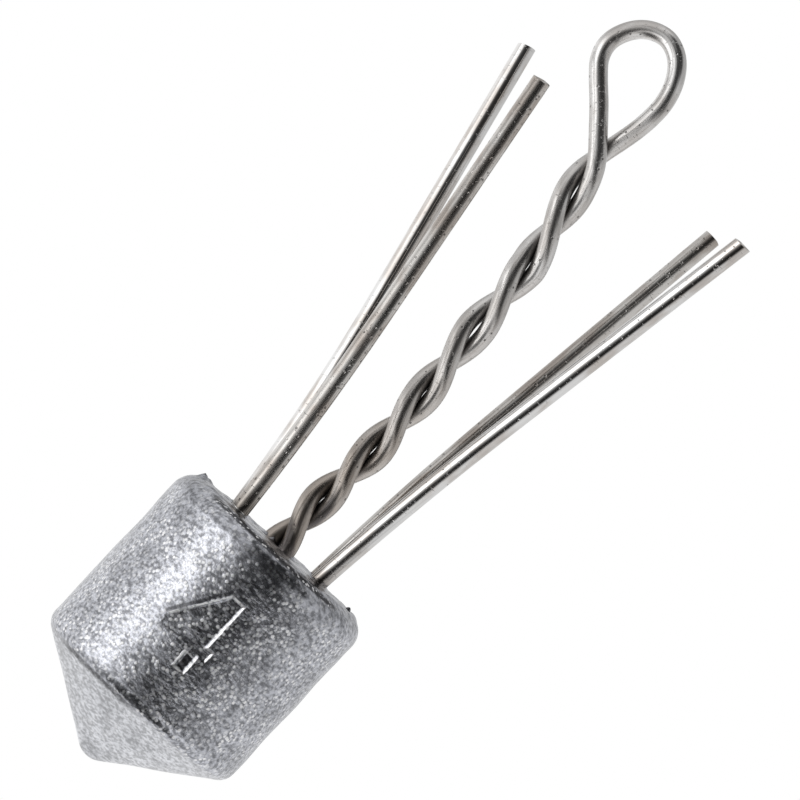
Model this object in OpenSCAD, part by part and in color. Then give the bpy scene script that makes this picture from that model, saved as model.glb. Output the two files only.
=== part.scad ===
// Wired surf sinker: a lead casting with a twisted eye wire and four legs of
// steel wire that the angler bends outward, so that they hold in sand.
// Lengths are in millimetres. The eye's inner top is the origin, +Z is up along
// the casting's axis, and the figure on the casting faces -Y.

/* [Lead casting] */
// Diameter of the barrel
lead_d = 23.8; // [18:0.1:36]
// Height of the barrel, from the top face to where the cone would start unrounded
barrel_h = 20.4; // [17:0.1:40]
// Angle between the axis and the side of the cone
nose_half_angle = 56; // [40:1:70]
// Radius of the shoulder round the top face
shoulder_r = 2.4; // [0.5:0.1:3]
// Radius between the barrel and the cone
belt_r = 1.8; // [0.4:0.1:4]
// Radius of the tip
tip_r = 2.4; // [0.5:0.1:4]

/* [Weight figure] */
// Height of the sunk figure
figure_h = 8.8; // [5:0.1:11]
// Distance from the top face down to the figure
figure_drop = 6.2; // [3:0.1:9]
// Sideways place of the stem's right edge, from the casting's axis
figure_side = 1.6; // [0:0.1:3]
// Width of the figure's upright stroke
stem_w = 1.5; // [0.8:0.1:2]
// Width of the figure's level stroke
bar_w = 1.35; // [0.8:0.05:2]
// Depth of the figure's flat floor below the front of the barrel
figure_depth = 0.6; // [0.3:0.05:1]

/* [Wires] */
// Diameter of the eye wire and of the legs
wire_d = 1.9; // [1.4:0.1:2.2]
// Air left between a cast-in wire and the lead
cast_gap = 0.02; // [0.01:0.01:0.1]

/* [Eye wire] */
// Inner width of the eye
eye_w = 6.2; // [5.6:0.1:9]
// Height of the eye's centre over the top face
eye_h = 58.6; // [56:0.1:70]
// How far the eye's centre lies to the left of the casting's axis
eye_side = 6.1; // [2:0.1:8]
// Angle that the round of the eye goes on below its left side
eye_wrap = 40; // [20:1:50]
// Sideways shift of the wire between one side of the eye and the other
eye_shift = 0.6; // [0:0.1:1.5]
// Distance from the centre of the twist to the centre of a strand
twist_r = 1.17; // [1.16:0.01:1.6]
// Height over the top face at which the strands first cross
first_cross = 2.95; // [1:0.05:4]
// Height of the first half turn of the twist
half_turn = 6.85; // [5:0.05:7.5]
// How much taller each half turn is than the one below it
half_turn_growth = 0.38; // [0:0.02:0.6]
// Number of half turns from the first crossing to the last
half_turns = 6; // [4:1:6]
// Height over the top face at which the shank starts to curve sideways
bow_start = 18.7; // [10:0.1:30]
// Radius of the shank's sideways curve
bow_r = 150; // [120:1:400]
// Depth of the spread tails' ends below the top face
tail_depth = 9.5; // [7:0.1:10]
// Distance of each tail's end from the casting's axis
tail_spread = 4.2; // [3:0.1:5]

/* [Legs] */
// Distance of each leg's foot from the middle of the four feet
feet_r = 6.95; // [6.5:0.05:7.5]
// Angle of the bright wire's feet from the left-to-right line, seen from above
bright_feet_angle = 38.5; // [35:0.5:55]
// Angle of the dull wire's feet from the left-to-right line, seen from above
dull_feet_angle = 41.5; // [35:0.5:55]
// Sideways shift of all four feet from the casting's axis
feet_shift = -0.2; // [-0.5:0.1:0.5]
// Height of each leg's bending point over the top face
pivot_rise = 1.2; // [1.15:0.05:2]
// How much larger in radius a leg's round foot is than its wire
foot_swell = 0.05; // [0.03:0.01:0.08]
// Clearance of a leg's round foot in its seat
pivot_gap = 0.08; // [0.05:0.01:0.1]
// Depth of the bright wire's crossing below the top face
bright_cross_depth = 13; // [12.6:0.1:14]
// Lead left between the two leg wires where the dull one crosses below the bright one
crossing_gap = 1.1; // [0.5:0.1:2]
// Radius of the wire's bends inside the lead
core_bend_r = 2.5; // [2:0.1:3.5]
// Share of each leg's length over which it curves outward
curved_share = 0.45; // [0.2:0.01:0.8]
// Length of the bright wire's left leg, at the back
bright_left_len = 53.8; // [30:0.1:80]
// Length of the bright wire's right leg, at the front
bright_right_len = 52.1; // [30:0.1:80]
// Length of the dull wire's left leg, at the front
dull_left_len = 50.4; // [30:0.1:80]
// Length of the dull wire's right leg, at the back
dull_right_len = 51.2; // [30:0.1:80]
// Outward lean of the bright left leg at its foot
bright_left_lean = 8.7; // [0:0.1:20]
// Outward lean of the bright right leg at its foot
bright_right_lean = 7.4; // [0:0.1:20]
// Outward lean of the dull left leg at its foot
dull_left_lean = 6.7; // [0:0.1:20]
// Outward lean of the dull right leg at its foot
dull_right_lean = 4.9; // [0:0.1:20]
// Angle that the bright left leg curves outward above its foot
bright_left_curve = 7.2; // [1:0.1:15]
// Angle that the bright right leg curves outward above its foot
bright_right_curve = 4.4; // [1:0.1:15]
// Angle that the dull left leg curves outward above its foot
dull_left_curve = 5.1; // [1:0.1:15]
// Angle that the dull right leg curves outward above its foot
dull_right_curve = 4.5; // [1:0.1:15]
// Bevel on the cut end of each leg
cut_bevel = 0.12; // [0:0.01:0.3]

/* [Hidden] */
$fn = 64;

lead_r = lead_d / 2;
wire_r = wire_d / 2;
overrun = wire_r;

// The cone and the rounds of the casting's outline. The two rounds beside the cone
// stand a little proud of it, so that they cross its side at an angle
round_swell = 0.01;
nose_h = lead_r / tan(nose_half_angle);
belt_reach = belt_r * tan(nose_half_angle / 2);
tip_centre_z = -barrel_h - nose_h + tip_r / sin(nose_half_angle);

// Outline of the figure, as shares of its height
figure_reach_share = 0.58;
figure_top_share = 0.185;
figure_bar_share = 0.605;
figure_stub_share = 0.088;

// The eye: centre line of its round part
eye_r = eye_w / 2 + wire_r;
eye_top_z = eye_h + eye_w / 2;
origin_shift = [eye_side, 0, -eye_top_z];

// How finely the eye wire is swept
wire_sides = 12;
rings_per_half_turn = 9;
rings_per_tail = 7;
rings_per_side = 7;
rings_round_eye = 22;
tail_turns = 1;
tail_pull_share = 0.45;
side_pull_share = 0.4;
sweep_step = 0.001;

// The legs' round feet, and the directions of the feet seen from above
foot_r = wire_r + foot_swell;
seat_top = pivot_rise - foot_r;
dull_cross_depth = bright_cross_depth + wire_d + crossing_gap;
full_turn = 360;
half_circle = 180;
quarter_turn = 90;
back_left_way = half_circle - bright_feet_angle;
front_right_way = -bright_feet_angle;
front_left_way = half_circle + dull_feet_angle;
back_right_way = dull_feet_angle;

// Points and directions
function unit(v) = v / norm(v);
function reversed(list) = [for (i = [len(list) - 1:-1:0]) list[i]];

// A smooth curve from p to q that leaves along u and arrives along v
function eased(p, u, q, v, pull, t) =
    let (reach = pull * norm(q - p))
    let (a = p + reach * unit(u), b = q - reach * unit(v))
    p * pow(1 - t, 3) + 3 * a * t * pow(1 - t, 2) + 3 * b * t * t * (1 - t) + q * pow(t, 3);

// The twisted shank: its middle, the height after some half turns, and one strand
function shank_x(z) = z < bow_start ? 0 : -pow(z - bow_start, 2) / (2 * bow_r);
function twist_z(k) = first_cross + half_turn * k + half_turn_growth * k * (k - 1) / 2;
function strand(k, start) =
    let (z = twist_z(k), turn = start - half_circle * k)
    [shank_x(z) + twist_r * cos(turn), twist_r * sin(turn), z];
function strand_way(k, start) = unit(strand(k + sweep_step, start) - strand(k, start));

// The round of the eye, from its right side over the top to its lower left
function eye_turn(t) = t * (half_circle + eye_wrap);
function eye_point(t) =
    [eye_r * cos(eye_turn(t)) - eye_side, eye_shift * (1 / 2 - t), eye_r * sin(eye_turn(t)) + eye_h];
function eye_way(t) = unit(eye_point(t + sweep_step) - eye_point(t));

// The eye wire's centre line, from one cast-in tail to the other
front_start = -quarter_turn;
back_start = quarter_turn;
function tail(start, side) =
    let (low = -tail_turns, from = [0, side * tail_spread, -tail_depth])
    [for (i = [0:rings_per_tail - 1])
        eased(from, [0, -side, 1], strand(low, start), strand_way(low, start), tail_pull_share, i / rings_per_tail)];
function twist(start) =
    let (steps = (half_turns + tail_turns) * rings_per_half_turn)
    [for (i = [0:steps - 1]) strand(i * (half_turns + tail_turns) / steps - tail_turns, start)];
function right_side() =
    [for (i = [0:rings_per_side - 1])
        eased(strand(half_turns, back_start), strand_way(half_turns, back_start),
            eye_point(0), eye_way(0), side_pull_share, i / rings_per_side)];
function left_side() =
    [for (i = [0:rings_per_side - 1])
        eased(strand(half_turns, front_start), strand_way(half_turns, front_start),
            eye_point(1), -eye_way(1), side_pull_share, i / rings_per_side)];
function eye_round() = [for (i = [0:rings_round_eye]) eye_point(i / rings_round_eye)];

eye_line = concat(
    tail(back_start, -1), twist(back_start), right_side(), eye_round(),
    reversed(left_side()), reversed(twist(front_start)), reversed(tail(front_start, 1))
);

// Least air between two stretches of the eye wire that are not neighbours
neighbour_rings = 9;
least_gap = min([
    for (i = [0:len(eye_line) - neighbour_rings - 1], j = [i + neighbour_rings:len(eye_line) - 1])
        norm(eye_line[i] - eye_line[j])
]) - wire_d;
echo(least_gap_of_eye_wire = least_gap);

// A round tube along a line of points
function line_way(line, i) = unit(line[min(i + 1, len(line) - 1)] - line[max(i - 1, 0)]);
function tube_ring(line, i, r) =
    let (way = line_way(line, i), side = unit(cross([0, 1, 0], way)), back = cross(way, side))
    [for (k = [0:wire_sides - 1])
        line[i] + r * (cos(full_turn * k / wire_sides) * side + sin(full_turn * k / wire_sides) * back)];
module tube(line, r) {
    rings = len(line);
    points = [for (i = [0:rings - 1]) each tube_ring(line, i, r)];
    walls = [
        for (i = [0:rings - 2], k = [0:wire_sides - 1])
            let (a = i * wire_sides + k, b = i * wire_sides + (k + 1) % wire_sides)
            each [[a, a + wire_sides, b], [b, a + wire_sides, b + wire_sides]]
    ];
    first_end = [for (k = [0:wire_sides - 1]) k];
    last_end = [for (k = [wire_sides - 1:-1:0]) (rings - 1) * wire_sides + k];
    polyhedron(points, concat([first_end], walls, [last_end]));
}

// Half of the casting's outline, to be turned round its axis: its flats, then its rounds
module casting_flats() {
    polygon([
        [0, 0],
        [lead_r - shoulder_r, 0],
        [lead_r, -shoulder_r],
        [lead_r, -barrel_h + belt_reach],
        [lead_r - belt_reach * sin(nose_half_angle), -barrel_h - belt_reach * cos(nose_half_angle)],
        [tip_r * cos(nose_half_angle), tip_centre_z - tip_r * sin(nose_half_angle)],
        [0, tip_centre_z]
    ]);
}
module casting_rounds() {
    translate([lead_r - shoulder_r, -shoulder_r]) circle(shoulder_r);
    translate([lead_r - belt_r, -barrel_h + belt_reach]) circle(belt_r + round_swell);
    intersection() {
        translate([0, tip_centre_z]) circle(tip_r + round_swell);
        translate([0, tip_centre_z - 2 * tip_r]) square([2 * tip_r, 2 * tip_r]);
    }
}

// The sunk figure four, with the island in its middle
module figure_outline() {
    right = figure_side;
    left = right - figure_reach_share * figure_h;
    top = -figure_drop;
    bar_top = top - figure_bar_share * figure_h;
    slope = figure_bar_share / (figure_reach_share - figure_top_share);
    inner_h = bar_top - top + stem_w * slope;
    difference() {
        polygon([
            [right - figure_top_share * figure_h, top],
            [right, top],
            [right, bar_top],
            [right + figure_stub_share * figure_h, bar_top],
            [right + figure_stub_share * figure_h, bar_top - bar_w],
            [right, bar_top - bar_w],
            [right, top - figure_h],
            [right - stem_w, top - figure_h],
            [right - stem_w, bar_top - bar_w],
            [left, bar_top - bar_w],
            [left, bar_top]
        ]);
        polygon([
            [right - stem_w, bar_top],
            [right - stem_w, bar_top - inner_h],
            [right - stem_w + inner_h / slope, bar_top]
        ]);
    }
}

// One leg, its round foot at the origin, leaning towards +X and curving further that way
module leg_shape(length, lean, curve) {
    curve_r = curved_share * length / (curve * PI / half_circle);
    straight = length * (1 - curved_share);
    rotate([0, lean + curve, 0]) translate([curve_r * cos(curve), 0, curve_r * sin(curve)]) {
        rotate([quarter_turn, 0, 0]) rotate([0, 0, half_circle]) {
            rotate_extrude(angle = curve) translate([curve_r, 0]) circle(wire_r);
            rotate([0, 0, curve]) translate([curve_r, 0, 0]) sphere(foot_r);
        }
        translate([-curve_r, 0, 0]) cylinder(h = straight - cut_bevel, r = wire_r);
        translate([-curve_r, 0, straight - cut_bevel])
            cylinder(h = cut_bevel, r1 = wire_r, r2 = wire_r - cut_bevel);
    }
}

// A leg in its place, on the side of the casting that the way points to
module leg(way, length, lean, curve) {
    translate(origin_shift) translate([feet_shift, 0, pivot_rise]) rotate([0, 0, way])
        translate([feet_r, 0, 0]) leg_shape(length, lean, curve);
}

// A cast-in wire bent to a U that rises to the top height at both ends
module core_shape(way, depth, r, top) {
    level = feet_r - core_bend_r;
    translate([feet_shift, 0, 0]) rotate([0, 0, way]) {
        translate([0, 0, -depth]) rotate([0, quarter_turn, 0]) cylinder(h = level * 2, r = r, center = true);
        for (side = [0, 1]) mirror([side, 0, 0]) {
            translate([level, 0, core_bend_r - depth]) rotate([quarter_turn, 0, 0]) rotate([0, 0, -quarter_turn])
                rotate_extrude(angle = quarter_turn) translate([core_bend_r, 0]) circle(r);
            translate([feet_r, 0, core_bend_r - depth]) cylinder(h = depth - core_bend_r + top, r = r);
        }
    }
}

// A cast-in wire with a round seat for the foot of a leg at each upright end
module core(way, depth) {
    translate(origin_shift) difference() {
        core_shape(way, depth, wire_r, seat_top);
        translate([feet_shift, 0, pivot_rise]) rotate([0, 0, way]) for (side = [-1, 1])
            translate([side * feet_r, 0, 0]) sphere(foot_r + pivot_gap);
    }
}

module lead_casting() {
    color([0.47, 0.49, 0.53]) translate(origin_shift) difference() {
        union() {
            rotate_extrude() casting_flats();
            rotate_extrude() casting_rounds();
        }
        translate([0, figure_depth - lead_r, 0]) rotate([quarter_turn, 0, 0])
            linear_extrude(height = figure_depth + overrun) figure_outline();
        core_shape(front_right_way, bright_cross_depth, wire_r + cast_gap, overrun);
        core_shape(back_right_way, dull_cross_depth, wire_r + cast_gap, overrun);
        tube(eye_line, wire_r + cast_gap);
    }
}

module eye_wire() {
    color([0.55, 0.53, 0.51]) translate(origin_shift) tube(eye_line, wire_r);
}

module bright_wire_core() {
    color([0.78, 0.78, 0.79]) core(front_right_way, bright_cross_depth);
}

module dull_wire_core() {
    color([0.62, 0.6, 0.58]) core(back_right_way, dull_cross_depth);
}

module bright_leg_left() {
    color([0.8, 0.8, 0.81]) leg(back_left_way, bright_left_len, bright_left_lean, bright_left_curve);
}

module bright_leg_right() {
    color([0.8, 0.8, 0.81]) leg(front_right_way, bright_right_len, bright_right_lean, bright_right_curve);
}

module dull_leg_left() {
    color([0.64, 0.62, 0.6]) leg(front_left_way, dull_left_len, dull_left_lean, dull_left_curve);
}

module dull_leg_right() {
    color([0.64, 0.62, 0.6]) leg(back_right_way, dull_right_len, dull_right_lean, dull_right_curve);
}

lead_casting();
eye_wire();
bright_wire_core();
dull_wire_core();
bright_leg_left();
bright_leg_right();
dull_leg_left();
dull_leg_right();
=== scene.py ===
"""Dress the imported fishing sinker: a rough lead casting, a twisted wire eye and four wire legs."""
import logging
from dataclasses import dataclass, replace
from enum import Enum
from math import asin, cos, hypot, pi, radians, sin, tan
from typing import Any

import bmesh
import bpy
import numpy as np
from bpy.types import Material, Mesh, Node, NodeSocket, NodeTree, Object
from mathutils import Matrix, Vector


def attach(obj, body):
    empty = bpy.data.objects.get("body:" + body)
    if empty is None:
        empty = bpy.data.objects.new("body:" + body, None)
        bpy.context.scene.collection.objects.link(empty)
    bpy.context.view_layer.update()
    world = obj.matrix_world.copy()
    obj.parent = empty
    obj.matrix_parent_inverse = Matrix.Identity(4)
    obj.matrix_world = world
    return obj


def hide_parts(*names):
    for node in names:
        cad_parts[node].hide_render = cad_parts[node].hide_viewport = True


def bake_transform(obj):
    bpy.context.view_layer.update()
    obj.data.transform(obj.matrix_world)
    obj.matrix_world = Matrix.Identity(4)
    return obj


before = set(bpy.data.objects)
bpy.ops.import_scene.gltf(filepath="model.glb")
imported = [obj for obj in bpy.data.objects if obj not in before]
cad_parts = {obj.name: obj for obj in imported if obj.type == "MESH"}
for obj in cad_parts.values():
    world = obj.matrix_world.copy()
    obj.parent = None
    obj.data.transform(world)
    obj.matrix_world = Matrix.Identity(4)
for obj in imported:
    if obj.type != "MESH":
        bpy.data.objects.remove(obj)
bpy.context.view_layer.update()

log = logging.getLogger("sinker")

Triple = tuple[float, float, float]
Array = np.ndarray

MM = 0.001
# The middle of the casting's top face, in millimetres from the eye's inner top.
TOP_CENTRE = np.array((6.1, 0.0, -61.7))
# The radius of a wire whose swell is 1, in millimetres.
WIRE_RADIUS = 0.95
# What the meshes store for their finishes: the place on the straightened wire, the painted highlight (1)
# and painted shade (-1) at the lead figure's edges, and how close the other strand of the twist is, for painted shade.
STRAIGHTENED = "straightened"
EDGE_LIGHT_AND_SHADE = "edge_light_and_shade"
STRAND_SHADE = "strand_shade"


class Slot(Enum):
    """The record's material slots."""

    LEAD = "lead"
    EYE_WIRE = "eye_wire"
    BRIGHT_WIRE = "bright_wire"
    DULL_WIRE = "dull_wire"


class End(Enum):
    """How the free end of a leg was cut: the bevel's length, and the share of the radius left at its end."""

    SQUARE = (0.05, 0.965)
    ROUNDED = (0.35, 0.80)
    CHIPPED = (0.2, 0.88)


# ---- node helpers


@dataclass(frozen=True)
class Value:
    """A node's output, which takes plain arithmetic."""

    socket: NodeSocket

    def __add__(self, other: "Value | float") -> "Value":
        """Add."""
        return calculate("ADD", self, other)

    def __sub__(self, other: "Value | float") -> "Value":
        """Take away."""
        return calculate("SUBTRACT", self, other)

    def __rsub__(self, other: float) -> "Value":
        """Take this away from a number."""
        return calculate("SUBTRACT", other, self)

    def __mul__(self, other: "Value | float") -> "Value":
        """Multiply."""
        return calculate("MULTIPLY", self, other)

    def __truediv__(self, other: "Value | float") -> "Value":
        """Divide."""
        return calculate("DIVIDE", self, other)

    def __rtruediv__(self, other: float) -> "Value":
        """Divide a number by this."""
        return calculate("DIVIDE", other, self)


@dataclass(frozen=True)
class Made:
    """A node in its tree, whose outputs are read by name or number."""

    node: Node

    def __getitem__(self, key: str | int) -> Value:
        """Return one output."""
        return Value(self.node.outputs[key])


def feed(node: Node, sockets: dict[str | int, Any]) -> None:
    """Feed a node.

    Args:
        node: the node.
        sockets: what each input gets, by name or number: another node's output, or a plain value.
    """
    for key, value in sockets.items():
        socket = node.inputs[key]
        if isinstance(value, Value):
            node.id_data.links.new(value.socket, socket)
        else:
            socket.default_value = (*value[:3], 1.0) if socket.type == "RGBA" else value


def put(tree: NodeTree, kind: str, sockets: dict[str | int, Any] | None = None, **settings: Any) -> Made:
    """Add a node to a tree, set it and feed it.

    Args:
        tree: the tree that gets the node.
        kind: the node's type name.
        sockets: what its inputs get, as in feed.
        settings: the node's own properties.

    Returns:
        The new node.
    """
    made = tree.nodes.new(kind)
    for name, value in settings.items():
        setattr(made, name, value)
    feed(made, sockets or {})
    return Made(made)


def calculate(operation: str, *values: Value | float) -> Value:
    """Return the result of a Math node on the values, one or more of which are outputs in a tree."""
    tree = next(value.socket.id_data for value in values if isinstance(value, Value))
    return put(tree, "ShaderNodeMath", dict(enumerate(values)), operation=operation)[0]


def clamped(value: Value) -> Value:
    """Keep a value from 0 to 1."""
    return put(value.socket.id_data, "ShaderNodeClamp", {0: value})[0]


def between(value: Value, low: float, high: float, to_low: float = 0.0, to_high: float = 1.0) -> Value:
    """Turn a value that runs from low to high into a smooth step between two results.

    Args:
        value: the value that runs.
        low: the value at which the result is to_low. It may be more than high.
        high: the value at which the result is to_high.
        to_low: the result at low and beyond it.
        to_high: the result at high and beyond it.

    Returns:
        The result.
    """
    (low, to_low), (high, to_high) = sorted(((low, to_low), (high, to_high)))
    ends = {"From Min": low, "From Max": high, "To Min": to_low, "To Max": to_high}
    return put(value.socket.id_data, "ShaderNodeMapRange", {"Value": value, **ends}, interpolation_type="SMOOTHSTEP")[0]


def band(value: Value, middle: float, half: float) -> Value:
    """Return 1 where a value is at the middle of a band, falling to 0 at half its width."""
    return between(calculate("ABSOLUTE", value - middle), half, 0.35 * half)


def stretched(place: Value, scale: tuple[float, ...], turn: tuple[float, ...] = (0.0, 0.0, 0.0)) -> Value:
    """Return a place scaled on each axis and then turned by the given degrees."""
    sockets = {"Vector": place, "Rotation": tuple(map(radians, turn)), "Scale": scale}
    return put(place.socket.id_data, "ShaderNodeMapping", sockets, vector_type="POINT")[0]


def scaled(vector: Value, factor: Value | float) -> Value:
    """Return a vector or a colour times a number."""
    return put(vector.socket.id_data, "ShaderNodeVectorMath", {0: vector, "Scale": factor}, operation="SCALE")[0]


def cloud(place: Value, scale: float, detail: float = 2.0, rough: float = 0.5) -> Value:
    """Return a soft noise from 0 to 1."""
    sockets = {"Vector": place, "Scale": scale, "Detail": detail, "Roughness": rough}
    return put(place.socket.id_data, "ShaderNodeTexNoise", sockets)[0]


def blended(share: Value, first: Any, second: Any) -> Value:
    """Return the colour that is first where the share is 0, and second where it is 1."""
    return put(share.socket.id_data, "ShaderNodeMix", {0: share, 6: first, 7: second}, data_type="RGBA")[2]


def lerp(share: Value, first: Value | float, second: Value | float) -> Value:
    """Return the number that is first where the share is 0, and second where it is 1."""
    return put(share.socket.id_data, "ShaderNodeMix", {0: share, 2: first, 3: second}, data_type="FLOAT")[0]


def new_tree(kind: str, name: str, inputs: dict[str, str], outputs: dict[str, str]) -> tuple:
    """Start a node group.

    Args:
        kind: Shader or Geometry.
        name: the group's name.
        inputs: the kind of each named input.
        outputs: the kind of each named output.

    Returns:
        The tree, its input node as Made and its output node.
    """
    tree = bpy.data.node_groups.new(name, kind + "NodeTree")
    for way, sockets in (("INPUT", inputs), ("OUTPUT", outputs)):
        for label, socket in sockets.items():
            tree.interface.new_socket(name=label, in_out=way, socket_type="NodeSocket" + socket)
    return tree, put(tree, "NodeGroupInput"), tree.nodes.new("NodeGroupOutput")


def new_metal(name: str) -> tuple[Material, Node]:
    """Start a metal.

    Args:
        name: the material's name.

    Returns:
        The material and its shader.
    """
    made = bpy.data.materials.new(name)
    made.use_nodes = True
    metal = made.node_tree.nodes["Principled BSDF"]
    metal.inputs["Metallic"].default_value = 1.0
    return made, metal


# ---- finishes


def drops_group() -> NodeTree:
    """Make the group of small round drops: raised on lead, sunk as pits on wire.

    Returns:
        A group with the inputs Place, Spacing and Size in millimetres, and the outputs Height and Chance.
    """
    tree, given, result = new_tree(
        "Shader", "round_drops", {"Place": "Vector", "Spacing": "Float", "Size": "Float"},
        {"Height": "Float", "Chance": "Float"},
    )
    cells = put(tree, "ShaderNodeTexVoronoi", {"Vector": given["Place"], "Scale": 1.0 / given["Spacing"]})
    share = cells["Distance"] * given["Spacing"] / given["Size"]
    chance = put(tree, "ShaderNodeSeparateColor", {0: cells["Color"]})[0]
    feed(result, {"Height": between(share, 1.0, 0.45), "Chance": chance})
    return tree


def wire_group(drops: NodeTree) -> NodeTree:
    """Make the group of what drawing, handling and salt leave on a wire.

    Args:
        drops: the group of round drops.

    Returns:
        A group with the inputs Place, Pit spacing and Pit size, and the outputs Streak, Pits, Film and Nicks.
    """
    tree, given, result = new_tree(
        "Shader", "drawn_wire_wear", {"Place": "Vector", "Pit spacing": "Float", "Pit size": "Float"},
        dict.fromkeys(("Streak", "Pits", "Film", "Nicks"), "Float"),
    )
    place = given["Place"]
    sockets = {"Place": place, "Spacing": given["Pit spacing"], "Size": given["Pit size"]}
    pits = put(tree, "ShaderNodeGroup", sockets, node_tree=drops)
    film = cloud(stretched(place, (0.5, 0.5, 0.16)), 1.0, 4.0, 0.6)
    nick = cloud(stretched(place, (1.2, 1.2, 5.0), (20.0, 0.0, 0.0)), 1.0)
    feed(result, {
        "Streak": cloud(stretched(place, (6.0, 6.0, 0.16)), 1.0, 3.0, 0.6),
        "Pits": pits["Height"] * between(pits["Chance"], 0.45, 0.6),
        "Film": between(film, 0.38, 0.62),
        "Nicks": between(nick, 0.66, 0.72),
    })
    return tree


@dataclass(frozen=True)
class WireFinish:
    """The look of one wire, along and round it. Depths and lengths are in millimetres."""

    name: str
    slot: Slot
    clean: Triple
    filmed: Triple
    foot: Triple
    film_share: float
    foot_length: float
    roughness: float
    rough_spread: float
    pit_spacing: float
    pit_size: float
    pit_depth: float
    streak_depth: float
    nick_shade: float = 0.15
    foot_roughness: float = 0.0
    far_foot: float = 0.0
    follows_wire: bool = True
    # The colour of the painted shade where the other strand of the twist is close.
    shade_colour: Triple = (0.05, 0.043, 0.038)

    def material(self, wear: NodeTree) -> Material:
        """Build the material.

        Args:
            wear: the group of what is left on a drawn wire.

        Returns:
            The finished material.
        """
        made, metal = new_metal(self.name)
        tree = made.node_tree
        if self.follows_wire:
            place = put(tree, "ShaderNodeAttribute", attribute_name=STRAIGHTENED)["Vector"]
        else:
            place = scaled(put(tree, "ShaderNodeTexCoord")["Object"], 1.0 / MM)
        sockets = {"Place": place, "Pit spacing": self.pit_spacing, "Pit size": self.pit_size}
        marks = put(tree, "ShaderNodeGroup", sockets, node_tree=wear)
        streak, pits, nicks = marks["Streak"], marks["Pits"], marks["Nicks"]
        film = marks["Film"] * self.film_share
        colour = blended(film, self.clean, self.filmed)
        dull = streak * self.rough_spread + self.roughness + film * (0.5 * self.rough_spread)
        if self.follows_wire:
            along = put(tree, "ShaderNodeSeparateXYZ", {0: place})["Z"]
            if self.far_foot:
                along = calculate("MINIMUM", along, self.far_foot - along)
            wavy = marks["Film"] * (0.4 * self.foot_length) + along
            low_down = between(wavy, self.foot_length, 0.25 * self.foot_length)
            colour = blended(low_down, colour, self.foot)
            dull = low_down * self.foot_roughness + dull
        # Painted shade where the other strand of the twist is close.
        strand_shade = put(tree, "ShaderNodeAttribute", attribute_name=STRAND_SHADE)["Fac"]
        colour = blended(strand_shade * 0.88, colour, self.shade_colour)
        dim = clamped(streak * 0.35 + 0.8) * (nicks * -self.nick_shade + 1.0) * (pits * -0.55 + 1.0)
        dull = clamped(strand_shade * 0.3 + pits * 0.2 + dull)
        high = streak * self.streak_depth - pits * self.pit_depth - nicks * (0.4 * self.pit_depth)
        bump = put(tree, "ShaderNodeBump", {"Height": high, "Distance": MM})
        feed(metal, {"Base Color": scaled(colour, dim), "Roughness": dull, "Normal": bump[0]})
        return made


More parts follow.
